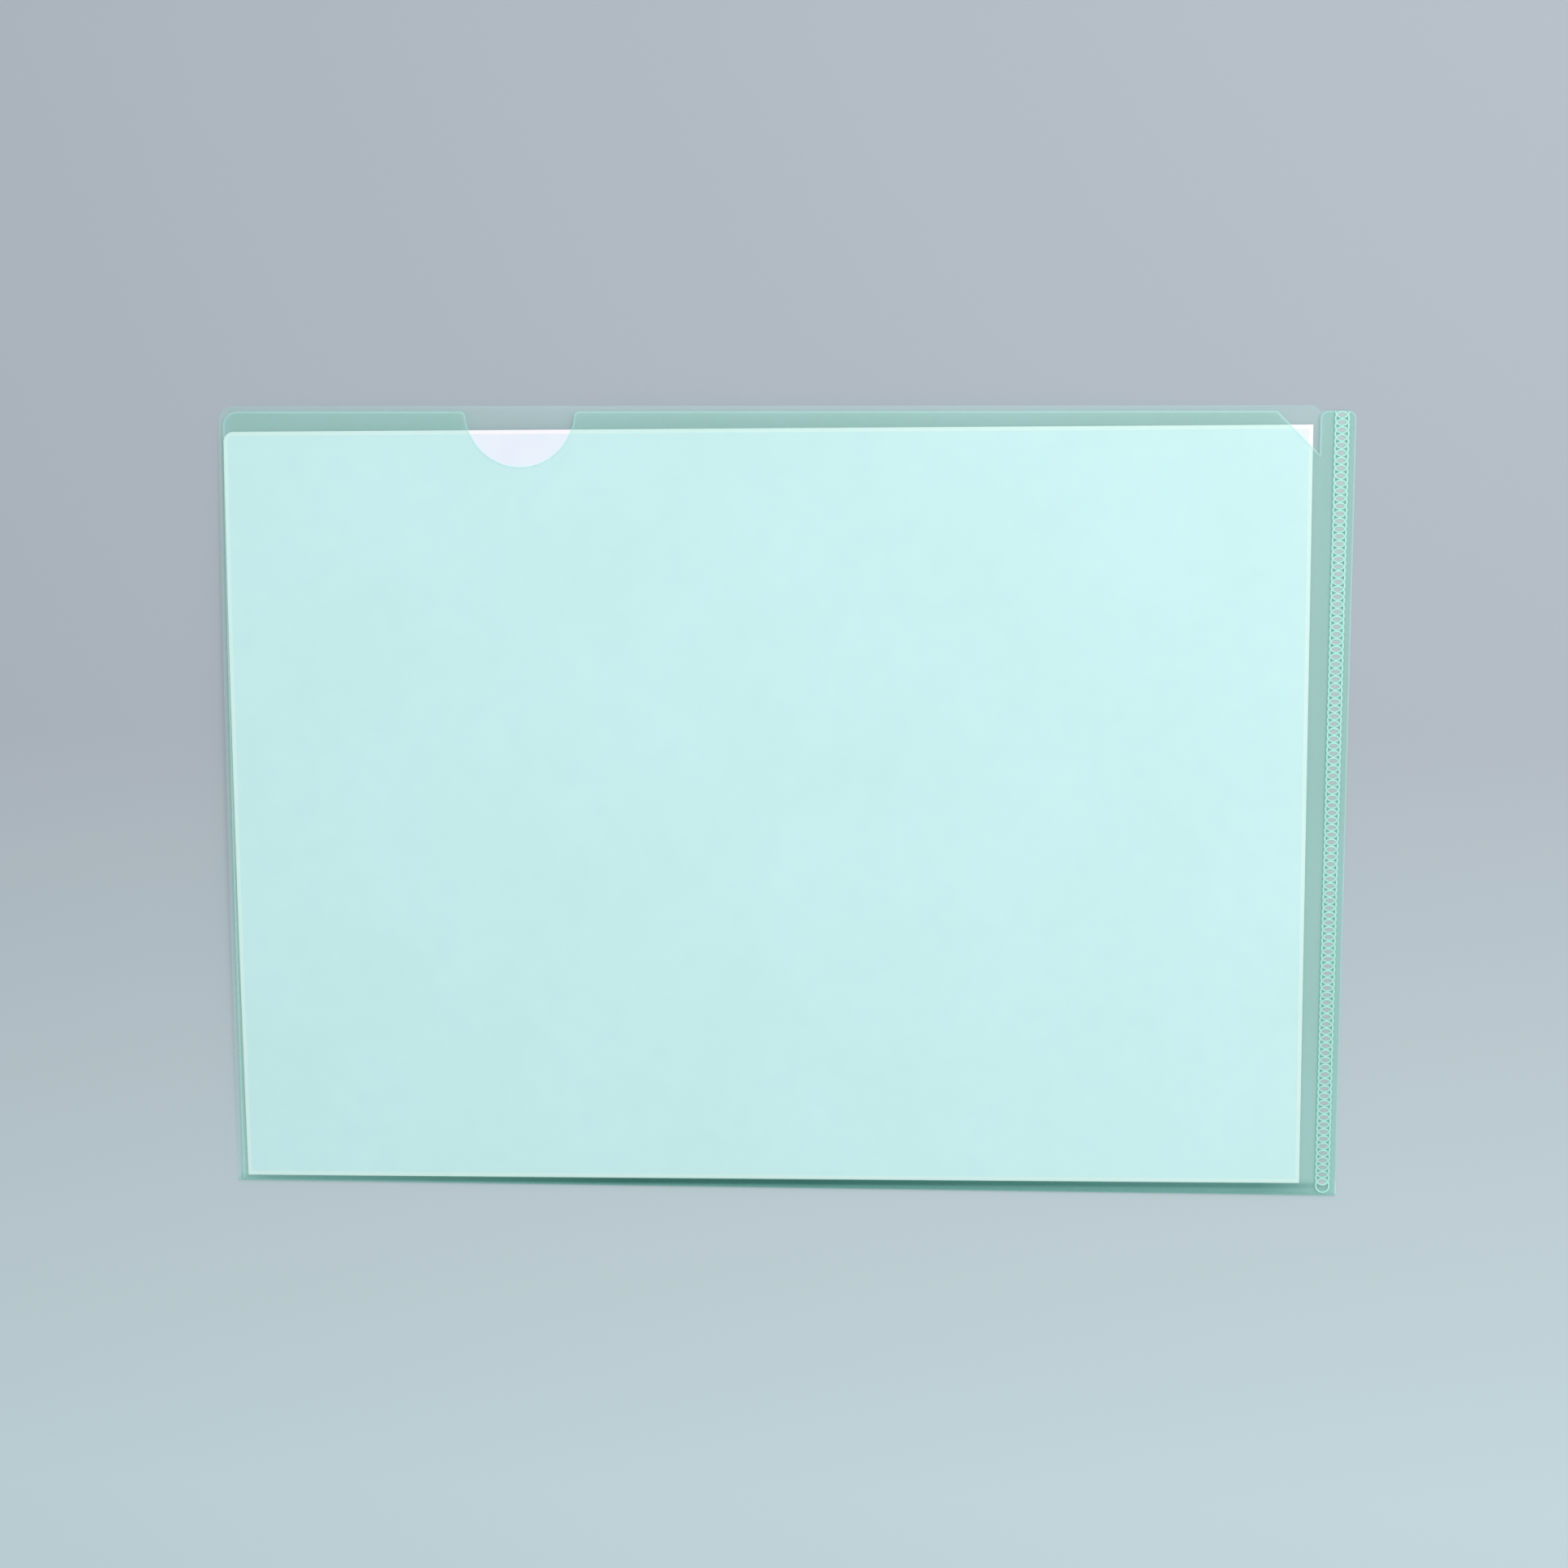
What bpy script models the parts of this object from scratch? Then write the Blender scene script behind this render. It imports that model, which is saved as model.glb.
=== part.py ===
"""An L-shaped document folder of thin translucent film, lying on its back leaf, with one sheet in it.

Units are metres and +Z is up. The fold is the long edge at -Y, the weld is the short edge at +X, and
the other two edges are open. The front leaf faces up. The origin is on the table, below the middle of
the folder. Outlines are drawn from the fold, which lies along their X axis.
"""

import math

import bmesh
import bpy
from mathutils import Vector

# Sheet that the folder is made for
SHEET_LENGTH = 0.297
SHEET_HEIGHT = 0.210
SHEET_THICKNESS = 0.0001
SHEET_CLIP_RADIUS = 0.0027
SHEET_TURN = math.radians(0.36)

# Film left round the sheet
WELD_MARGIN = 0.0102
OPEN_SIDE_MARGIN = 0.0028
FOLD_MARGIN = 0.0016
TOP_MARGIN = 0.0070

# Film
FILM = 0.0002
OPEN_EDGE_STEP = 0.0015
OPEN_CORNER_RADIUS = 0.004
WELD_CORNER_RADIUS = 0.002

# Gap kept between pieces that touch on the real folder
CLEARANCE = 0.0003

# Thumb notch in the long open edge of the front leaf
NOTCH_RADIUS = 0.015
NOTCH_LIP_RADIUS = 0.0015
NOTCH_FROM_OPEN_SIDE = 0.0838

# Relief cut in the front leaf, beside the top of the weld
RELIEF_DEPTH = 0.0115
WELD_STRIP_WIDTH = 0.0097

# Line along which the free corner of the front leaf bends
BEND_RISE = 0.004

# Chain of welded rings, each of which reaches a little past the middle of the next
RING_RADIUS = 0.00208
RING_LINE = 0.00045
RING_PAST_MIDDLE = 0.00004
WELD_FROM_EDGE = 0.0038
WELD_END_MARGIN = 0.0012

# Segments of the round stretches
CORNER_SEGMENTS = 6
NOTCH_SEGMENTS = 24
LIP_SEGMENTS = 4
FOLD_SEGMENTS = 12

# Sizes that follow from those above
WIDTH = OPEN_SIDE_MARGIN + SHEET_LENGTH + WELD_MARGIN
HEIGHT = FOLD_MARGIN + SHEET_HEIGHT + TOP_MARGIN
POCKET = SHEET_THICKNESS + 2 * CLEARANCE
DEPTH = POCKET + 2 * FILM
FOLD_RADIUS = DEPTH / 2
LEAF_FOOT = FOLD_RADIUS + CLEARANCE
LEFT = -WIDTH / 2
RIGHT = WIDTH / 2
FRONT_LEFT = LEFT + OPEN_EDGE_STEP
FRONT_TOP = HEIGHT - OPEN_EDGE_STEP
RELIEF_X = RIGHT - WELD_STRIP_WIDTH
BEND_LOW = Vector((FRONT_LEFT, LEAF_FOOT + BEND_RISE))
BEND_HIGH = Vector((RELIEF_X, FRONT_TOP - RELIEF_DEPTH))
BEND_SLOPE = (BEND_HIGH.y - BEND_LOW.y) / (BEND_HIGH.x - BEND_LOW.x)
RING_PITCH = RING_RADIUS - RING_PAST_MIDDLE

# Where the layers lie: the fold's edge along Y, and the middle of each layer along Z
FOLD_Y = -HEIGHT / 2
BACK_Z = FILM / 2
SHEET_Z = DEPTH / 2
FRONT_Z = DEPTH - FILM / 2

# Turn an outline drawn in its own XY plane to lie across the X axis
ACROSS = (math.pi / 2, 0, math.pi / 2)
FLAT = (0, 0, 0)


def clear_scene():
    for item in list(bpy.data.objects):
        bpy.data.objects.remove(item)


def make_collection(name):
    collection = bpy.data.collections.new(name)
    bpy.context.scene.collection.children.link(collection)
    return collection


def make_material(name, colour, roughness, alpha=1.0):
    material = bpy.data.materials.new(name)
    material.use_nodes = True
    shader = material.node_tree.nodes["Principled BSDF"]
    shader.inputs["Base Color"].default_value = (*colour, 1.0)
    shader.inputs["Roughness"].default_value = roughness
    shader.inputs["Metallic"].default_value = 0.0
    shader.inputs["Alpha"].default_value = alpha
    return material


def arc(centre, radius, start_deg, end_deg, segments):
    """Points on a round stretch, both ends included."""
    points = []
    for step in range(segments + 1):
        angle = math.radians(start_deg + (end_deg - start_deg) * step / segments)
        points.append((centre[0] + radius * math.cos(angle), centre[1] + radius * math.sin(angle)))
    return points


def bend_line(x, shift):
    """Height of the bend line at x, moved by shift square to the line, towards the free corner."""
    return BEND_LOW.y + BEND_SLOPE * (x - BEND_LOW.x) + shift * math.hypot(1.0, BEND_SLOPE)


def make_plate(name, outlines, thickness, location, rotation, collection, material):
    """A flat outline, with any holes as further outlines, given its thickness."""
    curve = bpy.data.curves.new(name, "CURVE")
    curve.dimensions = "2D"
    curve.fill_mode = "BOTH"
    curve.extrude = thickness / 2
    for outline in outlines:
        spline = curve.splines.new("POLY")
        spline.points.add(len(outline) - 1)
        for point, (x, y) in zip(spline.points, outline):
            point.co = (x, y, 0.0, 1.0)
        spline.use_cyclic_u = True
    drawing = bpy.data.objects.new(name + "_drawing", curve)
    collection.objects.link(drawing)
    mesh = bpy.data.meshes.new_from_object(drawing.evaluated_get(bpy.context.evaluated_depsgraph_get()))
    bpy.data.objects.remove(drawing)
    bpy.data.curves.remove(curve)
    weld_caps(mesh)
    mesh.name = name
    mesh.materials.clear()
    mesh.materials.append(material)
    plate = bpy.data.objects.new(name, mesh)
    plate.location = location
    plate.rotation_euler = rotation
    collection.objects.link(plate)
    return plate


def weld_caps(mesh):
    """Join the caps of a filled outline to its sides, with every face pointing out."""
    shape = bmesh.new()
    shape.from_mesh(mesh)
    bmesh.ops.remove_doubles(shape, verts=shape.verts, dist=1e-6)
    bmesh.ops.recalc_face_normals(shape, faces=shape.faces)
    shape.to_mesh(mesh)
    shape.free()


def make_back_cover(collection, material):
    radius = OPEN_CORNER_RADIUS
    outline = [(LEFT, LEAF_FOOT), (RIGHT, LEAF_FOOT)]
    outline += arc((RIGHT - WELD_CORNER_RADIUS, HEIGHT - WELD_CORNER_RADIUS),
                   WELD_CORNER_RADIUS, 0, 90, CORNER_SEGMENTS)
    outline += arc((LEFT + radius, HEIGHT - radius), radius, 90, 180, CORNER_SEGMENTS)
    return make_plate("back_cover", [outline], FILM, (0, FOLD_Y, BACK_Z), FLAT, collection, material)


def weld_window():
    """Opening in the front leaf that the fused rings fill."""
    half = RING_RADIUS + CLEARANCE
    x = RIGHT - WELD_FROM_EDGE
    low = LEAF_FOOT + WELD_END_MARGIN + half
    high = FRONT_TOP - WELD_END_MARGIN - half
    lower_end = arc((x, low), half, 180, 360, 2 * CORNER_SEGMENTS)
    upper_end = arc((x, high), half, 0, 180, 2 * CORNER_SEGMENTS)
    return lower_end + upper_end


def make_front_cover(collection, material):
    """The part of the front leaf beside the fold and the weld, which they hold still."""
    radius = WELD_CORNER_RADIUS
    edge = -CLEARANCE / 2
    outline = [(FRONT_LEFT, LEAF_FOOT), (RIGHT, LEAF_FOOT)]
    outline += arc((RIGHT - radius, FRONT_TOP - radius), radius, 0, 90, CORNER_SEGMENTS)
    outline += arc((RELIEF_X + radius, FRONT_TOP - radius), radius, 90, 180, CORNER_SEGMENTS)
    outline.append((RELIEF_X, bend_line(RELIEF_X, edge)))
    outline.append((FRONT_LEFT, bend_line(FRONT_LEFT, edge)))
    outlines = [outline, weld_window()]
    return make_plate("front_cover", outlines, FILM, (0, FOLD_Y, FRONT_Z), FLAT, collection, material)


def notch_outline(x):
    """Thumb notch with rounded lips, drawn from its right lip to its left one."""
    reach = NOTCH_RADIUS + NOTCH_LIP_RADIUS
    lip_y = FRONT_TOP - NOTCH_LIP_RADIUS
    spread = math.sqrt(reach ** 2 - NOTCH_LIP_RADIUS ** 2)
    dip = math.degrees(math.asin(NOTCH_LIP_RADIUS / reach))
    points = arc((x + spread, lip_y), NOTCH_LIP_RADIUS, 90, 180 - dip, LIP_SEGMENTS)
    points += arc((x, FRONT_TOP), NOTCH_RADIUS, -dip, -180 + dip, NOTCH_SEGMENTS)[1:-1]
    points += arc((x - spread, lip_y), NOTCH_LIP_RADIUS, dip, 90, LIP_SEGMENTS)
    return points


def make_front_flap(collection, material):
    """The free corner of the front leaf, which lifts along the bend line."""
    radius = OPEN_CORNER_RADIUS
    edge = CLEARANCE / 2
    slant_x = RELIEF_X - RELIEF_DEPTH
    meet_x = (FRONT_TOP + slant_x - bend_line(0, edge)) / (1 + BEND_SLOPE)
    outline = [(FRONT_LEFT, bend_line(FRONT_LEFT, edge)), (meet_x, bend_line(meet_x, edge))]
    outline.append((slant_x, FRONT_TOP))
    outline += notch_outline(LEFT + NOTCH_FROM_OPEN_SIDE)
    outline += arc((FRONT_LEFT + radius, FRONT_TOP - radius), radius, 90, 180, CORNER_SEGMENTS)
    flap = make_plate("front_flap", [outline], FILM, (0, FOLD_Y, FRONT_Z), FLAT, collection, material)
    hinge = bpy.data.objects.new("flap_bend_line", None)
    hinge.location = (BEND_LOW.x, FOLD_Y + BEND_LOW.y, FRONT_Z)
    hinge.rotation_euler = (0, 0, math.atan(BEND_SLOPE))
    collection.objects.link(hinge)
    bpy.context.view_layer.update()
    flap.parent = hinge
    flap.matrix_parent_inverse = hinge.matrix_world.inverted()
    return flap


def make_spine_fold(collection, material):
    """The film turned half round, from the front leaf to the back one."""
    centre = (FOLD_RADIUS, FOLD_RADIUS)
    outline = arc(centre, FOLD_RADIUS, 90, 270, FOLD_SEGMENTS)
    outline += arc(centre, FOLD_RADIUS - FILM, 270, 90, FOLD_SEGMENTS)
    return make_plate("spine_fold", [outline], WIDTH, (0, FOLD_Y, 0), ACROSS, collection, material)


def ring_chain_outlines(count):
    """Outer edge and gaps of a chain of overlapping rings, with the first ring's centre at 0, 0."""
    inner = RING_RADIUS - RING_LINE
    half = RING_PITCH / 2
    valley = math.degrees(math.asin(half / RING_RADIUS))
    last = (count - 1) * RING_PITCH
    right = arc((0, 0), RING_RADIUS, -90, 0, 3)
    for ring in range(count - 1):
        right.append((RING_RADIUS * math.cos(math.radians(valley)), ring * RING_PITCH + half))
        right.append((RING_RADIUS, (ring + 1) * RING_PITCH))
    right += arc((0, last), RING_RADIUS, 30, 90, 2)
    left = [(-x, y) for x, y in reversed(right[1:-1])]
    outlines = [right + left]
    for ring in range(count - 1):
        outlines.append(lens_gap(ring * RING_PITCH, inner, half))
    for ring in range(1, count - 1):
        outlines += side_gaps(ring * RING_PITCH, inner)
    return outlines


def lens_gap(low, inner, half):
    """Gap inside two neighbouring rings at once."""
    tip = math.degrees(math.asin(half / inner))
    upper = arc((0, low), inner, tip, 180 - tip, 3)
    lower = arc((0, low + 2 * half), inner, 180 + tip, 360 - tip, 3)
    return upper + lower[1:-1]


def side_gaps(middle, inner):
    """The two gaps inside one ring, left and right, that its neighbours don't cross."""
    near = math.sqrt(RING_RADIUS ** 2 - RING_PITCH ** 2)
    rise = (RING_PITCH ** 2 + inner ** 2 - RING_RADIUS ** 2) / (2 * RING_PITCH)
    far = math.sqrt(inner ** 2 - rise ** 2)
    start = math.degrees(math.atan2(-RING_PITCH, near))
    end = math.degrees(math.atan2(rise - RING_PITCH, far))
    upper = arc((0, middle + RING_PITCH), RING_RADIUS, start, end, 2)
    lower = [(x, 2 * middle - y) for x, y in reversed(upper[1:])]
    gap = upper + lower
    return [gap, [(-x, y) for x, y in gap]]


def make_weld_seam(collection, material):
    """Rings that fuse the two leaves, from the front face in to the back leaf."""
    low = LEAF_FOOT + WELD_END_MARGIN + CLEARANCE + RING_RADIUS
    room = FRONT_TOP - WELD_END_MARGIN - CLEARANCE - RING_RADIUS - low
    count = int(room / RING_PITCH) + 1
    start = low + (room - (count - 1) * RING_PITCH) / 2
    thickness = DEPTH - FILM - CLEARANCE
    location = (RIGHT - WELD_FROM_EDGE, FOLD_Y + start, DEPTH - thickness / 2)
    outlines = ring_chain_outlines(count)
    return make_plate("weld_seam", outlines, thickness, location, FLAT, collection, material)


def make_paper_sheet(collection, material):
    """The sheet between the leaves, lying slightly turned, with one clipped corner."""
    radius = SHEET_CLIP_RADIUS
    outline = [(-SHEET_LENGTH, 0), (0, 0), (0, SHEET_HEIGHT)]
    outline += arc((radius - SHEET_LENGTH, SHEET_HEIGHT - radius), radius, 90, 180, CORNER_SEGMENTS)
    rise = SHEET_LENGTH * math.sin(SHEET_TURN)
    corner = (RIGHT - WELD_MARGIN, FOLD_Y + FOLD_MARGIN + rise, SHEET_Z)
    turn = (0, 0, SHEET_TURN)
    return make_plate("paper_sheet", [outline], SHEET_THICKNESS, corner, turn, collection, material)


def main():
    clear_scene()
    folder = make_collection("l_shaped_folder")
    back_film = make_material("back_film", (0.36, 0.62, 0.58), 0.35, alpha=0.55)
    front_film = make_material("front_film", (0.40, 0.70, 0.64), 0.35, alpha=0.45)
    flap_film = make_material("flap_film", (0.40, 0.70, 0.64), 0.35, alpha=0.45)
    fold_film = make_material("fold_film", (0.22, 0.45, 0.40), 0.30, alpha=0.75)
    weld_film = make_material("weld_film", (0.45, 0.86, 0.72), 0.25, alpha=0.70)
    paper = make_material("paper", (0.90, 0.91, 0.95), 0.85)
    make_back_cover(folder, back_film)
    make_front_cover(folder, front_film)
    make_front_flap(folder, flap_film)
    make_spine_fold(folder, fold_film)
    make_weld_seam(folder, weld_film)
    make_paper_sheet(folder, paper)


main()
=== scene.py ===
"""Looks of an L-shaped document folder: translucent mint film, folded and welded, with a sheet in it.

Units are metres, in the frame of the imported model. The folder lies on its back leaf, with the fold along
the edge at -Y, the weld along the edge at +X, and the front leaf facing up. Every layer follows the same
gentle lift off the table, as thin film that has been handled does.
"""

import math

import bmesh
import bpy
from mathutils import Matrix, Vector


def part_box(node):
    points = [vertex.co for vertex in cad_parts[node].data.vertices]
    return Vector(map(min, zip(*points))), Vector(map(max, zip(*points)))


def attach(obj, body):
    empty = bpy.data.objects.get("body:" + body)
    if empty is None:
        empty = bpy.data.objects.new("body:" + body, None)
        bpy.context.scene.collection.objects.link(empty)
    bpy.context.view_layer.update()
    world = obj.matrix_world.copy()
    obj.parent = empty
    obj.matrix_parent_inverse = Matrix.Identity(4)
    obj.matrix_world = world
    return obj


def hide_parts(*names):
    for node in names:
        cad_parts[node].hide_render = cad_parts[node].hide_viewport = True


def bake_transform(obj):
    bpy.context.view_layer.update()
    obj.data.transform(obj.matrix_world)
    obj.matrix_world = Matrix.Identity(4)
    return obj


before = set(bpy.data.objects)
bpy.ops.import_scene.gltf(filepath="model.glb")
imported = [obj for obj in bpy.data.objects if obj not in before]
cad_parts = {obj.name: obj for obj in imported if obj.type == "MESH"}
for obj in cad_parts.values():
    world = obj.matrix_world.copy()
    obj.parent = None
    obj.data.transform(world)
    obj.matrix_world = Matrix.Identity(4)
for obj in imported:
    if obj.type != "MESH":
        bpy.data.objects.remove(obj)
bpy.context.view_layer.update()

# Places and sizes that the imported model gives
BACK_LOW, BACK_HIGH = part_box("back_cover")
FLAP_LOW, FLAP_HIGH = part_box("front_flap")
FOLD_LOW, FOLD_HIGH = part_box("spine_fold")
WELD_LOW, WELD_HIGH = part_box("weld_seam")
PAPER_LOW, PAPER_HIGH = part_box("paper_sheet")
LEFT, RIGHT, TOP = BACK_LOW.x, BACK_HIGH.x, BACK_HIGH.y
FRONT_LEFT, FRONT_TOP = FLAP_LOW.x, FLAP_HIGH.y
FILM = BACK_HIGH.z - BACK_LOW.z
FRONT_Z = FLAP_LOW.z
PAPER_THICKNESS = PAPER_HIGH.z - PAPER_LOW.z
FOLD_Y = FOLD_LOW.y
FOLD_RADIUS = (FOLD_HIGH.z - FOLD_LOW.z) / 2
LEAF_FOOT = FOLD_Y + FOLD_RADIUS
WIDTH = RIGHT - LEFT
HEIGHT = TOP - FOLD_Y
WELD_X = (WELD_LOW.x + WELD_HIGH.x) / 2
RING_RADIUS = (WELD_HIGH.x - WELD_LOW.x) / 2

# Cut-outs and corners of the film
OPEN_CORNER_RADIUS = 0.004
WELD_CORNER_RADIUS = 0.002
NOTCH_RADIUS = 0.015
NOTCH_LIP_RADIUS = 0.0015
NOTCH_FROM_OPEN_SIDE = 0.0838
RELIEF_DEPTH = 0.0115
WELD_STRIP_WIDTH = 0.0097
RELIEF_X = RIGHT - WELD_STRIP_WIDTH

# Sheet, turned about its lower right corner
SHEET_LENGTH = 0.297
SHEET_HEIGHT = 0.210
SHEET_TURN = math.radians(0.36)
SHEET_CLIP_RADIUS = 0.0027
SHEET_CORNER = Vector((PAPER_HIGH.x, PAPER_LOW.y + SHEET_LENGTH * math.sin(SHEET_TURN)))

# Welded rings, sunk a little into the front leaf, and the melted film between them
RING_LINE = 0.00045
RING_PAST_MIDDLE = 0.00004
RING_PITCH = RING_RADIUS - RING_PAST_MIDDLE
RING_HEIGHT = 0.00012
RING_SINK = 0.00003
RING_ROUNDING = 0.00006
MELT_GAP = 0.00003
MELT_HEIGHT = 0.00003

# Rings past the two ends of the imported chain, and how far below the leaf's edge the last one is cut off
RINGS_TOWARDS_FOLD = 1
RINGS_TOWARDS_TOP = 2
RING_CUT = 0.00005

# Lift of the layers off the table, at the middle of the open long edge and of the open short edge
TOP_LIFT = 0.0020
SIDE_LIFT = 0.0020

# Where the front leaf comes down to the back one, beside the weld and above the fold
PRESS_START = PAPER_HIGH.x + 0.0004
PRESS_END = WELD_LOW.x - 0.0002
PRESS_FOOT_START = FOLD_Y + 0.0006
PRESS_FOOT_END = FOLD_Y + 0.0050
WELD_GAP = 0.00002

# Mesh steps
GRID_STEP = 0.005
PRESS_STEP = 0.0007
ARC_STEP = 0.0004
LEAST_ARC_SEGMENTS = 4
RING_SEGMENTS = 8
SIDE_GAP_SEGMENTS = 4
FOLD_SEGMENTS = 16
CUT_TOLERANCE = 1e-7
MERGE_DISTANCE = 1e-6
SMOOTH_ANGLE = math.radians(40)

# Bands along the cut edges, in a second material that paints a highlight there
FILM_HIGHLIGHT_BAND = 0.00045
PAPER_HIGHLIGHT_BAND = 0.0011

# Film finishes that several materials share
BACK_TINT = (0.998, 1.0, 0.999)
FRONT_TINT = (0.985, 1.0, 0.990)
WELD_ROUGHNESS = 0.26

# Painted shade in the film beside the fold, where the pocket below the lower edge of the sheet and the fold
# lie in shadow: how strong it is at distances up the leaf from the lower edge of the sheet
BACK_PAINTED_SHADE = [(-0.0030, 0.6), (-0.0018, 0.6), (-0.0012, 1.0), (-0.0002, 1.0), (0.0010, 0.0)]
FRONT_PAINTED_SHADE = [(-0.0030, 0.4), (-0.0018, 0.4), (-0.0012, 0.75), (-0.0002, 0.75), (0.0, 0.0)]
FOLD_PAINTED_SHADE = [(-0.0030, 0.35), (0.0, 0.35)]
# How strong the painted shade is along the fold, in shares of the width from the open end to the weld
PAINTED_SHADE_ALONG = [(0.0, 0.1), (0.03, 0.35), (0.35, 1.0), (0.52, 1.0), (0.75, 0.78), (0.93, 0.6), (0.985, 0.15),
                (1.0, 0.0)]
# Colours of the painted shade beside the fold, for the clear film and for its haze
PAINTED_SHADE_TINT = (0.60, 0.80, 0.77)
PAINTED_SHADE_HAZE = (0.06, 0.27, 0.22)

# Camera, fitted to the edges in the photograph
FRAME_PIXELS = 1932
FOCAL_PIXELS = 3336.98
SENSOR_MM = 36.0
CAMERA_DISTANCE = 0.75
CAMERA_TILT = 0.13173
CAMERA_YAW = -0.05341
CAMERA_ROLL = 0.00051
CAMERA_TARGET = Vector((0.00076, FOLD_Y + 0.11485, 0.0))

# Floor, whose colour changes between two places along Y, with painted light that makes the near side lighter
# and greener
FLOOR_SIZE = 12.0
FLOOR_Z = -0.0001
FLOOR_NEAR_Y = -0.20
FLOOR_FAR_Y = 0.02
# Near colour lighter and greener than the far one: painted light
FLOOR_NEAR = (0.585, 0.717, 0.745)
FLOOR_FAR = (0.438, 0.483, 0.528)

# Light from all round
WORLD_COLOUR = (0.93, 0.96, 1.0)
WORLD_STRENGTH = 0.545


def smooth_step(value, start, end):
    share = min(max((value - start) / (end - start), 0.0), 1.0)
    return share * share * (3 - 2 * share)


def lift(x, y):
    """How far every layer stands off the table: nothing along the fold, the weld and the two end corners."""
    rise = min(max((y - FOLD_Y) / HEIGHT, 0.0), 1.0)
    across = min(max((x - LEFT) / WIDTH, 0.0), 1.0)
    top_arch = 4 * across * (1 - across) * rise
    side_arch = (1 - across) * 4 * rise * (1 - rise)
    return TOP_LIFT * top_arch + SIDE_LIFT * side_arch


def front_height(x, y):
    """Underside of the front leaf, which comes down to the back leaf along the weld."""
    pressed = smooth_step(x, PRESS_START, PRESS_END) * smooth_step(y, PRESS_FOOT_START, PRESS_FOOT_END)
    return FRONT_Z + (FILM + WELD_GAP - FRONT_Z) * pressed + lift(x, y)


def paper_height(x, y):
    return PAPER_LOW.z + lift(x, y)


def arc(centre, radius, start_deg, end_deg, segments=None):
    """Points on a round stretch, both ends included."""
    sweep = math.radians(abs(end_deg - start_deg))
    count = segments or max(LEAST_ARC_SEGMENTS, round(radius * sweep / ARC_STEP))
    points = []
    for step in range(count + 1):
        angle = math.radians(start_deg + (end_deg - start_deg) * step / count)
        points.append((centre[0] + radius * math.cos(angle), centre[1] + radius * math.sin(angle)))
    return points


def back_outline():
    """Back leaf, which stands above the front one everywhere but at the end of the weld."""
    small = WELD_CORNER_RADIUS
    large = OPEN_CORNER_RADIUS
    outline = [(LEFT, LEAF_FOOT), (RIGHT, LEAF_FOOT)]
    outline += arc((RIGHT - small, FRONT_TOP - small), small, 0, 90)
    outline.append((RELIEF_X, FRONT_TOP))
    outline.append((RELIEF_X - (TOP - FRONT_TOP), TOP))
    outline += arc((LEFT + large, TOP - large), large, 90, 180)
    return outline


def notch_outline(x):
    """Thumb notch with rounded lips, drawn from its right lip to its left one."""
    reach = NOTCH_RADIUS + NOTCH_LIP_RADIUS
    lip_y = FRONT_TOP - NOTCH_LIP_RADIUS
    spread = math.sqrt(reach ** 2 - NOTCH_LIP_RADIUS ** 2)
    dip = math.degrees(math.asin(NOTCH_LIP_RADIUS / reach))
    points = arc((x + spread, lip_y), NOTCH_LIP_RADIUS, 90, 180 - dip)
    points += arc((x, FRONT_TOP), NOTCH_RADIUS, -dip, -180 + dip)[1:-1]
    points += arc((x - spread, lip_y), NOTCH_LIP_RADIUS, dip, 90)
    return points


def front_outline():
    """Front leaf in one piece: weld strip, relief cut, thumb notch and free corner."""
    small = WELD_CORNER_RADIUS
    large = OPEN_CORNER_RADIUS
    outline = [(FRONT_LEFT, LEAF_FOOT), (RIGHT, LEAF_FOOT)]
    outline += arc((RIGHT - small, FRONT_TOP - small), small, 0, 90)
    outline += arc((RELIEF_X + small, FRONT_TOP - small), small, 90, 180)
    outline.append((RELIEF_X, FRONT_TOP - RELIEF_DEPTH))
    outline.append((RELIEF_X - RELIEF_DEPTH, FRONT_TOP))
    outline += notch_outline(LEFT + NOTCH_FROM_OPEN_SIDE)
    outline += arc((FRONT_LEFT + large, FRONT_TOP - large), large, 90, 180)
    return outline


def paper_outline():
    """The sheet, turned about its lower right corner, with one clipped corner."""
    radius = SHEET_CLIP_RADIUS
    outline = [(-SHEET_LENGTH, 0), (0, 0), (0, SHEET_HEIGHT)]
    outline += arc((radius - SHEET_LENGTH, SHEET_HEIGHT - radius), radius, 90, 180)
    turn = Matrix.Rotation(SHEET_TURN, 2)
    return [tuple(SHEET_CORNER + turn @ Vector(point)) for point in outline]


def ring_chain_outlines(count):
    """Outer edge and gaps of a chain of overlapping rings, with the first ring's centre at 0, 0."""
    inner = RING_RADIUS - RING_LINE
    valley = math.degrees(math.asin(RING_PITCH / 2 / RING_RADIUS))
    last = (count - 1) * RING_PITCH
    right = arc((0, 0), RING_RADIUS, -90, valley, RING_SEGMENTS)
    for ring in range(1, count - 1):
        right += arc((0, ring * RING_PITCH), RING_RADIUS, -valley, valley, RING_SEGMENTS)[1:]
    right += arc((0, last), RING_RADIUS, -valley, 90, RING_SEGMENTS)[1:]
    left = [(-x, y) for x, y in reversed(right[1:-1])]
    end_gap = crescent_gap(inner)
    outlines = [right + left, end_gap, [(x, last - y) for x, y in end_gap]]
    for ring in range(count - 1):
        outlines.append(lens_gap(ring * RING_PITCH, inner))
    for ring in range(1, count - 1):
        outlines += side_gaps(ring * RING_PITCH, inner)
    return outlines


def ring_crossing(inner):
    """Where the inner edge of a ring meets the outer edge of the next one, along and across the chain."""
    rise = (RING_PITCH ** 2 + inner ** 2 - RING_RADIUS ** 2) / (2 * RING_PITCH)
    return rise, math.sqrt(inner ** 2 - rise ** 2)


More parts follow.
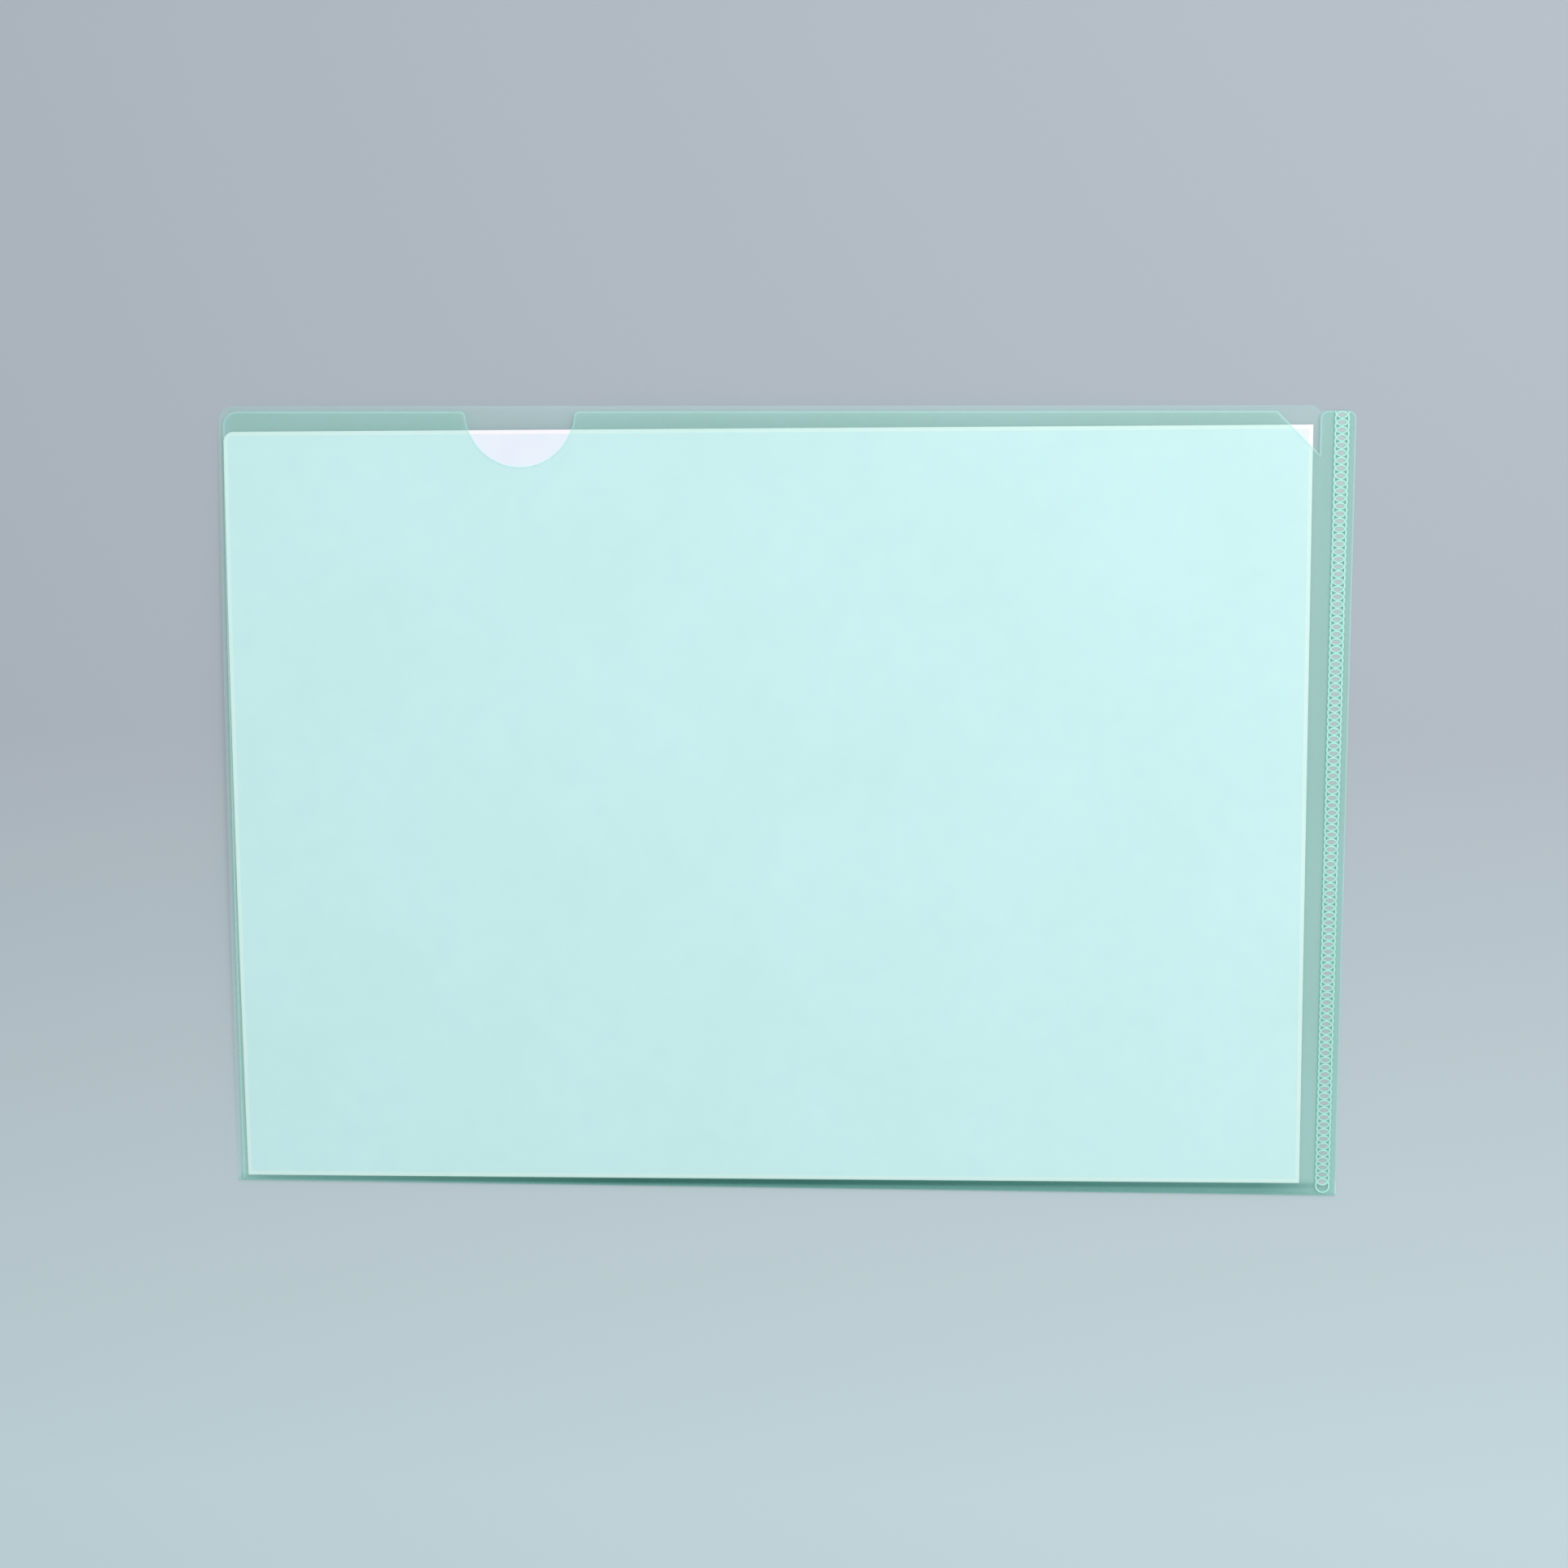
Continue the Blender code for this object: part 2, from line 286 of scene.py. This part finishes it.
def crescent_gap(inner):
    """Gap inside the first ring that the second one doesn't reach."""
    rise, reach = ring_crossing(inner)
    tip = math.degrees(math.atan2(rise, reach))
    dip = math.degrees(math.atan2(RING_PITCH - rise, reach))
    outer = arc((0, 0), inner, tip, -180 - tip, 2 * RING_SEGMENTS)
    back = arc((0, RING_PITCH), RING_RADIUS, 180 + dip, 360 - dip, RING_SEGMENTS)
    return outer + back[1:-1]


def lens_gap(low, inner):
    """Gap inside two neighbouring rings at once."""
    tip = math.degrees(math.asin(RING_PITCH / 2 / inner))
    upper = arc((0, low), inner, tip, 180 - tip, RING_SEGMENTS)
    lower = arc((0, low + RING_PITCH), inner, 180 + tip, 360 - tip, RING_SEGMENTS)
    return upper + lower[1:-1]


def side_gaps(middle, inner):
    """The two gaps inside one ring, left and right, that its neighbours don't cross."""
    near = math.sqrt(RING_RADIUS ** 2 - RING_PITCH ** 2)
    rise, far = ring_crossing(inner)
    start = math.degrees(math.atan2(-RING_PITCH, near))
    end = math.degrees(math.atan2(rise - RING_PITCH, far))
    upper = arc((0, middle + RING_PITCH), RING_RADIUS, start, end, SIDE_GAP_SEGMENTS)
    lower = [(x, 2 * middle - y) for x, y in reversed(upper[1:])]
    gap = upper + lower
    return [gap, [(-x, y) for x, y in gap]]


def add_piece(name, shape, materials):
    """Turn a finished bmesh into an object of the scene, shaded smooth apart from its sharp edges."""
    mesh = bpy.data.meshes.new(name)
    shape.to_mesh(mesh)
    shape.free()
    for material in materials:
        mesh.materials.append(material)
    mesh.shade_smooth()
    mesh.set_sharp_from_angle(angle=SMOOTH_ANGLE)
    piece = bpy.data.objects.new(name, mesh)
    bpy.context.scene.collection.objects.link(piece)
    return piece


def steps_between(low, high, step):
    count = math.ceil((high - low) / step)
    return [low + (high - low) * index / count for index in range(1, count)]


def cut_along(shape, normal, places):
    """Cut a mesh by planes square to an axis, so that it can bend."""
    for place in places:
        geometry = shape.verts[:] + shape.edges[:] + shape.faces[:]
        bmesh.ops.bisect_plane(shape, geom=geometry, dist=CUT_TOLERANCE, plane_co=normal * place,
                               plane_no=normal)


def build_sheet(name, outline, thickness, height, edge_highlight, materials):
    """A thin sheet cut to an outline, bent to a height, with a narrow band along its cut edges in the second
    material, a painted highlight.
    """
    shape = bmesh.new()
    face = shape.faces.new([shape.verts.new((x, y, 0.0)) for x, y in outline])
    face.normal_update()
    border = bmesh.ops.inset_region(shape, faces=[face], thickness=edge_highlight, use_boundary=True,
                                    use_even_offset=True)["faces"]
    # The bands along the cut edges get the painted highlight, but not those along the fold
    for highlight_face in border:
        at_fold = highlight_face.calc_center_median().y < FOLD_Y + 2 * FOLD_RADIUS
        highlight_face.material_index = 0 if at_fold else 1
    cut_along(shape, Vector((1, 0, 0)), steps_between(LEFT, RIGHT, GRID_STEP))
    cut_along(shape, Vector((1, 0, 0)), steps_between(PRESS_START, PRESS_END, PRESS_STEP))
    cut_along(shape, Vector((0, 1, 0)), steps_between(FOLD_Y, TOP, GRID_STEP))
    cut_along(shape, Vector((0, 1, 0)), steps_between(PRESS_FOOT_START, PRESS_FOOT_END, PRESS_STEP))
    lower = shape.faces[:]
    raised = bmesh.ops.extrude_face_region(shape, geom=lower, use_keep_orig=True)["geom"]
    for vertex in [item for item in raised if isinstance(item, bmesh.types.BMVert)]:
        vertex.co.z += thickness
    for vertex in shape.verts:
        vertex.co.z += height(vertex.co.x, vertex.co.y)
    bmesh.ops.recalc_face_normals(shape, faces=shape.faces)
    return add_piece(name, shape, materials)


def outline_shape(outlines, half_depth, rounding=0.0):
    """A bmesh of a flat outline with holes, given its depth and, where wanted, rounded edges."""
    curve = bpy.data.curves.new("drawing", "CURVE")
    curve.dimensions = "2D"
    curve.fill_mode = "BOTH"
    curve.extrude = half_depth - rounding
    curve.bevel_depth = rounding
    curve.bevel_resolution = 1
    curve.offset = -rounding
    for outline in outlines:
        spline = curve.splines.new("POLY")
        spline.points.add(len(outline) - 1)
        for point, (x, y) in zip(spline.points, outline):
            point.co = (x, y, 0.0, 1.0)
        spline.use_cyclic_u = True
    drawing = bpy.data.objects.new("drawing", curve)
    bpy.context.scene.collection.objects.link(drawing)
    mesh = bpy.data.meshes.new_from_object(drawing.evaluated_get(bpy.context.evaluated_depsgraph_get()))
    bpy.data.objects.remove(drawing)
    bpy.data.curves.remove(curve)
    shape = bmesh.new()
    shape.from_mesh(mesh)
    bpy.data.meshes.remove(mesh)
    bmesh.ops.remove_doubles(shape, verts=shape.verts, dist=MERGE_DISTANCE)
    bmesh.ops.recalc_face_normals(shape, faces=shape.faces)
    return shape


def build_fold(name, material):
    """The film turned half round, from the back leaf to the front one."""
    centre = (FOLD_RADIUS, FOLD_RADIUS)
    outline = arc(centre, FOLD_RADIUS, 90, 270, FOLD_SEGMENTS)
    outline += arc(centre, FOLD_RADIUS - FILM, 270, 90, FOLD_SEGMENTS)
    shape = outline_shape([outline], WIDTH / 2)
    across = Matrix.Rotation(math.pi / 2, 4, "Z") @ Matrix.Rotation(math.pi / 2, 4, "X")
    place = Matrix.Translation(((LEFT + RIGHT) / 2, FOLD_Y, 0.0))
    bmesh.ops.transform(shape, matrix=place @ across, verts=shape.verts)
    cut_along(shape, Vector((1, 0, 0)), steps_between(LEFT, RIGHT, GRID_STEP))
    for vertex in shape.verts:
        vertex.co.z += lift(vertex.co.x, vertex.co.y)
    return add_piece(name, shape, [material])


def trim_top(shape, y):
    """Cut off what lies past a place along Y, and close the cut."""
    geometry = shape.verts[:] + shape.edges[:] + shape.faces[:]
    cut = bmesh.ops.bisect_plane(shape, geom=geometry, dist=CUT_TOLERANCE, plane_co=(0, y, 0),
                                 plane_no=(0, 1, 0), clear_outer=True)["geom_cut"]
    bmesh.ops.holes_fill(shape, edges=[item for item in cut if isinstance(item, bmesh.types.BMEdge)])
    bmesh.ops.recalc_face_normals(shape, faces=shape.faces)


def build_weld(name, materials):
    """Raised rings along the weld, on the face of the front leaf, with the melted film between them."""
    packed_count = round((WELD_HIGH.y - WELD_LOW.y - 2 * RING_RADIUS) / RING_PITCH) + 1
    count = packed_count + RINGS_TOWARDS_FOLD + RINGS_TOWARDS_TOP
    first_y = WELD_LOW.y + RING_RADIUS - RINGS_TOWARDS_FOLD * RING_PITCH
    shape = outline_shape(ring_chain_outlines(count), RING_HEIGHT / 2, RING_ROUNDING)
    trim_top(shape, FRONT_TOP - RING_CUT - first_y)
    melt_radius = RING_RADIUS - RING_LINE - MELT_GAP
    melt_outlines = [lens_gap(ring * RING_PITCH, melt_radius) for ring in range(count - 1)]
    melt = outline_shape(melt_outlines, MELT_HEIGHT / 2)
    for face in melt.faces:
        face.material_index = 1
    melt_mesh = bpy.data.meshes.new("melt")
    melt.to_mesh(melt_mesh)
    melt.free()
    shape.from_mesh(melt_mesh)
    bpy.data.meshes.remove(melt_mesh)
    for vertex in shape.verts:
        vertex.co.x += WELD_X
        vertex.co.y += first_y
        vertex.co.z += front_height(vertex.co.x, vertex.co.y) + FILM + RING_HEIGHT / 2 - RING_SINK
    return add_piece(name, shape, materials)


def new_material(name):
    material = bpy.data.materials.new(name)
    material.use_nodes = True
    material.node_tree.nodes.clear()
    return material


def find(sockets, name):
    """The socket of that name that is in use, on a node that has one for each kind of value."""
    return next(socket for socket in sockets if socket.name == name and socket.enabled)


def link(tree, source, output, target, socket):
    tree.links.new(find(source.outputs, output), find(target.inputs, socket))


def add_noise(tree, position, scale, detail):
    """Noise in real lengths: a scale of 1000 has features of about a millimetre."""
    noise = tree.nodes.new("ShaderNodeTexNoise")
    noise.inputs["Scale"].default_value = scale
    noise.inputs["Detail"].default_value = detail
    link(tree, position, "Object", noise, "Vector")
    return noise


def add_range(tree, source, output, low, high, from_low=0.3, from_high=0.7):
    """Map a range of values, by default the middle ones of a noise, to another range."""
    spread = tree.nodes.new("ShaderNodeMapRange")
    spread.inputs["From Min"].default_value = from_low
    spread.inputs["From Max"].default_value = from_high
    spread.inputs["To Min"].default_value = low
    spread.inputs["To Max"].default_value = high
    link(tree, source, output, spread, "Value")
    return spread


def add_ramp(tree, source, output, stops):
    """Colours at places from 0 to 1."""
    ramp = tree.nodes.new("ShaderNodeValToRGB")
    ramp.color_ramp.elements[0].position = stops[0][0]
    ramp.color_ramp.elements[0].color = (*stops[0][1], 1.0)
    ramp.color_ramp.elements[1].position = stops[-1][0]
    ramp.color_ramp.elements[1].color = (*stops[-1][1], 1.0)
    for place, colour in stops[1:-1]:
        ramp.color_ramp.elements.new(place).color = (*colour, 1.0)
    link(tree, source, output, ramp, "Fac")
    return ramp


def add_bump(tree, source, output, shader, strength, distance):
    bump = tree.nodes.new("ShaderNodeBump")
    bump.inputs["Strength"].default_value = strength
    bump.inputs["Distance"].default_value = distance
    link(tree, source, output, bump, "Height")
    link(tree, bump, "Normal", shader, "Normal")


def cloudy(colour, spread):
    """Ramp stops just below and above a colour, for a noise to drive."""
    low = [channel * (1 - spread) for channel in colour]
    high = [min(channel * (1 + spread), 1.0) for channel in colour]
    return [(0.35, low), (0.65, high)]


def add_shares(tree, axes, axis, low, high, stops):
    """A share that changes between a low and a high place on an axis."""
    place = add_range(tree, axes, axis, 0.0, 1.0, low, high)
    return add_ramp(tree, place, "Result", [(stop, (share, share, share)) for stop, share in stops])


def add_painted_shade(tree, position, stops):
    """How much painted shade there is, up the leaf from the edge of the sheet and along the fold."""
    along_sheet = tree.nodes.new("ShaderNodeMapping")
    along_sheet.inputs["Rotation"].default_value = (0.0, 0.0, -SHEET_TURN)
    link(tree, position, "Object", along_sheet, "Vector")
    axes = tree.nodes.new("ShaderNodeSeparateXYZ")
    link(tree, along_sheet, "Vector", axes, "Vector")
    edge = (Matrix.Rotation(-SHEET_TURN, 2) @ SHEET_CORNER).y
    low, high = stops[0][0], stops[-1][0]
    up_stops = [((distance - low) / (high - low), share) for distance, share in stops]
    up = add_shares(tree, axes, "Y", edge + low, edge + high, up_stops)
    along = add_shares(tree, axes, "X", LEFT, RIGHT, PAINTED_SHADE_ALONG)
    painted_shade = tree.nodes.new("ShaderNodeMath")
    painted_shade.operation = "MULTIPLY"
    tree.links.new(up.outputs["Color"], painted_shade.inputs[0])
    tree.links.new(along.outputs["Color"], painted_shade.inputs[1])
    return painted_shade


def mix_in_painted_shade(tree, painted_shade, colour, painted_shade_colour):
    """A colour that turns into the colour of the painted shade where there is painted shade."""
    mix = tree.nodes.new("ShaderNodeMix")
    mix.data_type = "RGBA"
    find(mix.inputs, "B").default_value = (*painted_shade_colour, 1.0)
    link(tree, painted_shade, "Value", mix, "Factor")
    link(tree, colour, "Color", mix, "A")
    return find(mix.outputs, "Result")


def film_material(name, tint, haze, opacity, painted_shade=None, glance=0.25, roughness=0.34):
    """Translucent satin film: clear tinted film mixed with mint haze, of which more is seen edge-on, with
    painted shade beside the fold where stops for it are given.
    """
    material = new_material(name)
    tree = material.node_tree
    position = tree.nodes.new("ShaderNodeTexCoord")
    cloud = add_noise(tree, position, scale=22, detail=3)
    grain = add_noise(tree, position, scale=2600, detail=2)
    clear = tree.nodes.new("ShaderNodeBsdfTransparent")
    body = tree.nodes.new("ShaderNodeBsdfPrincipled")
    body.inputs["IOR"].default_value = 1.49
    clear_ramp = add_ramp(tree, cloud, "Fac", cloudy(tint, spread=0.002))
    body_ramp = add_ramp(tree, cloud, "Fac", cloudy(haze, spread=0.015))
    clear_colour, body_colour = clear_ramp.outputs["Color"], body_ramp.outputs["Color"]
    # Painted shade beside the fold, darkest where the pocket under the sheet's lower edge lies in shadow
    if painted_shade:
        painted_shade_share = add_painted_shade(tree, position, painted_shade)
        clear_colour = mix_in_painted_shade(tree, painted_shade_share, clear_ramp, PAINTED_SHADE_TINT)
        body_colour = mix_in_painted_shade(tree, painted_shade_share, body_ramp, PAINTED_SHADE_HAZE)
    tree.links.new(clear_colour, clear.inputs["Color"])
    tree.links.new(body_colour, body.inputs["Base Color"])
    rough = add_range(tree, grain, "Fac", low=roughness - 0.06, high=roughness + 0.06)
    link(tree, rough, "Result", body, "Roughness")
    add_bump(tree, grain, "Fac", body, strength=0.15, distance=0.00004)
    edge_on = tree.nodes.new("ShaderNodeLayerWeight")
    edge_on.inputs["Blend"].default_value = 0.12
    hazy = add_range(tree, edge_on, "Facing", opacity, opacity + glance, from_low=0.0, from_high=1.0)
    mix = tree.nodes.new("ShaderNodeMixShader")
    link(tree, hazy, "Result", mix, "Fac")
    tree.links.new(clear.outputs["BSDF"], mix.inputs[1])
    tree.links.new(body.outputs["BSDF"], mix.inputs[2])
    output = tree.nodes.new("ShaderNodeOutputMaterial")
    link(tree, mix, "Shader", output, "Surface")
    return material


def paper_material(name, dark, light):
    """Smooth white paper, clouded between two colours, with faint fibres."""
    material = new_material(name)
    tree = material.node_tree
    position = tree.nodes.new("ShaderNodeTexCoord")
    cloud = add_noise(tree, position, scale=160, detail=4)
    fibre = add_noise(tree, position, scale=3200, detail=3)
    fibre.inputs["Distortion"].default_value = 1.5
    shader = tree.nodes.new("ShaderNodeBsdfPrincipled")
    shader.inputs["Specular IOR Level"].default_value = 0.25
    colour = add_ramp(tree, cloud, "Fac", [(0.3, dark), (0.7, light)])
    link(tree, colour, "Color", shader, "Base Color")
    rough = add_range(tree, fibre, "Fac", low=0.78, high=0.92)
    link(tree, rough, "Result", shader, "Roughness")
    add_bump(tree, fibre, "Fac", shader, strength=0.2, distance=0.00003)
    output = tree.nodes.new("ShaderNodeOutputMaterial")
    link(tree, shader, "BSDF", output, "Surface")
    return material


def floor_material(name):
    """Pale studio floor, with painted light that makes it a little lighter and greener on the near side."""
    material = new_material(name)
    tree = material.node_tree
    position = tree.nodes.new("ShaderNodeTexCoord")
    axes = tree.nodes.new("ShaderNodeSeparateXYZ")
    link(tree, position, "Object", axes, "Vector")
    far = add_range(tree, axes, "Y", 0.0, 1.0, FLOOR_NEAR_Y, FLOOR_FAR_Y)
    colour = add_ramp(tree, far, "Result", [(0.0, FLOOR_NEAR), (1.0, FLOOR_FAR)])
    speck = add_noise(tree, position, scale=900, detail=2)
    shader = tree.nodes.new("ShaderNodeBsdfPrincipled")
    shader.inputs["Specular IOR Level"].default_value = 0.1
    link(tree, colour, "Color", shader, "Base Color")
    rough = add_range(tree, speck, "Fac", low=0.85, high=0.95)
    link(tree, rough, "Result", shader, "Roughness")
    output = tree.nodes.new("ShaderNodeOutputMaterial")
    link(tree, shader, "BSDF", output, "Surface")
    return material


def make_floor():
    shape = bmesh.new()
    bmesh.ops.create_grid(shape, x_segments=4, y_segments=4, size=FLOOR_SIZE / 2)
    floor = add_piece("floor", shape, [floor_material("floor")])
    floor.location.z = FLOOR_Z


def make_area_light(name, location, target, size, watts, colour):
    data = bpy.data.lights.new(name, "AREA")
    data.size = size
    data.energy = watts
    data.color = colour
    light = bpy.data.objects.new(name, data)
    light.location = location
    light.rotation_euler = (Vector(target) - Vector(location)).to_track_quat("-Z", "Y").to_euler()
    bpy.context.scene.collection.objects.link(light)


def make_lights():
    world = bpy.data.worlds.new("studio")
    world.use_nodes = True
    background = world.node_tree.nodes["Background"]
    background.inputs["Color"].default_value = (*WORLD_COLOUR, 1.0)
    background.inputs["Strength"].default_value = WORLD_STRENGTH
    bpy.context.scene.world = world
    make_area_light("key", location=(0.45, 0.45, 1.1), target=(0.0, 0.0, 0.0), size=0.9, watts=9.9,
                    colour=(1.0, 0.99, 0.97))


def make_camera():
    tilt, yaw, roll = CAMERA_TILT, CAMERA_YAW, CAMERA_ROLL
    forward = Vector((math.cos(tilt) * math.sin(yaw), -math.sin(tilt), -math.cos(tilt) * math.cos(yaw)))
    level_right = Vector((math.cos(yaw), 0.0, math.sin(yaw)))
    level_up = level_right.cross(forward)
    right = level_right * math.cos(roll) - level_up * math.sin(roll)
    up = level_right * math.sin(roll) + level_up * math.cos(roll)
    place = Matrix((right, up, -forward)).transposed().to_4x4()
    place.translation = CAMERA_TARGET - CAMERA_DISTANCE * forward
    data = bpy.data.cameras.new("camera")
    data.sensor_width = SENSOR_MM
    data.lens = FOCAL_PIXELS / FRAME_PIXELS * SENSOR_MM
    data.clip_start = 0.01
    camera = bpy.data.objects.new("camera", data)
    camera.matrix_world = place
    bpy.context.scene.collection.objects.link(camera)
    bpy.context.scene.camera = camera


def make_back():
    film = film_material("back_film", BACK_TINT, haze=(0.67, 1.0, 0.95), opacity=0.135, painted_shade=BACK_PAINTED_SHADE)
    # Painted highlight along the cut edges of the back leaf
    edge_highlight = film_material("back_film_edge_highlight", BACK_TINT, haze=(0.60, 0.97, 0.92), opacity=0.12)
    piece = build_sheet("back_leaf_film", back_outline(), FILM, lift, FILM_HIGHLIGHT_BAND, [film, edge_highlight])
    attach(piece, "folder")
    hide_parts("back_cover")


def make_front():
    film = film_material("front_film", FRONT_TINT, haze=(0.52, 1.0, 0.885), opacity=0.15,
                         painted_shade=FRONT_PAINTED_SHADE)
    # Painted highlight along the cut edges of the front leaf, brighter and more opaque than the leaf
    edge_highlight = film_material("front_film_edge_highlight", FRONT_TINT, haze=(0.56, 0.985, 0.90), opacity=0.26)
    piece = build_sheet("front_leaf_film", front_outline(), FILM, front_height, FILM_HIGHLIGHT_BAND, [film, edge_highlight])
    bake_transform(piece)
    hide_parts("front_cover", "front_flap")


def make_fold():
    film = film_material("fold_film", tint=(0.98, 1.0, 0.99), haze=(0.44, 0.95, 0.82), opacity=0.15,
                         painted_shade=FOLD_PAINTED_SHADE)
    piece = build_fold("fold_film", film)
    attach(piece, "folder")
    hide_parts("spine_fold")


def make_weld():
    film = film_material("weld_film", FRONT_TINT, haze=(0.53, 1.0, 0.89), opacity=0.70,
                         roughness=WELD_ROUGHNESS)
    melted = film_material("melted_film", tint=(0.99, 0.99, 0.99), haze=(0.66, 0.77, 0.77), opacity=0.50,
                           roughness=WELD_ROUGHNESS)
    piece = build_weld("weld_rings", [film, melted])
    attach(piece, "folder")
    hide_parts("weld_seam")


def make_paper():
    paper = paper_material("paper", dark=(0.832, 0.884, 0.970), light=(0.852, 0.904, 0.980))
    # Painted highlight along the cut edges of the sheet, whiter than the paper
    edge_highlight = paper_material("paper_edge_highlight", dark=(0.985, 0.955, 0.99), light=(0.995, 0.965, 0.995))
    piece = build_sheet("paper", paper_outline(), PAPER_THICKNESS, paper_height, PAPER_HIGHLIGHT_BAND, [paper, edge_highlight])
    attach(piece, "sheet")
    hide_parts("paper_sheet")


def main():
    make_camera()
    make_lights()
    make_floor()
    make_back()
    make_front()
    make_fold()
    make_weld()
    make_paper()


main()
bpy.context.scene.view_settings.view_transform = "Standard"
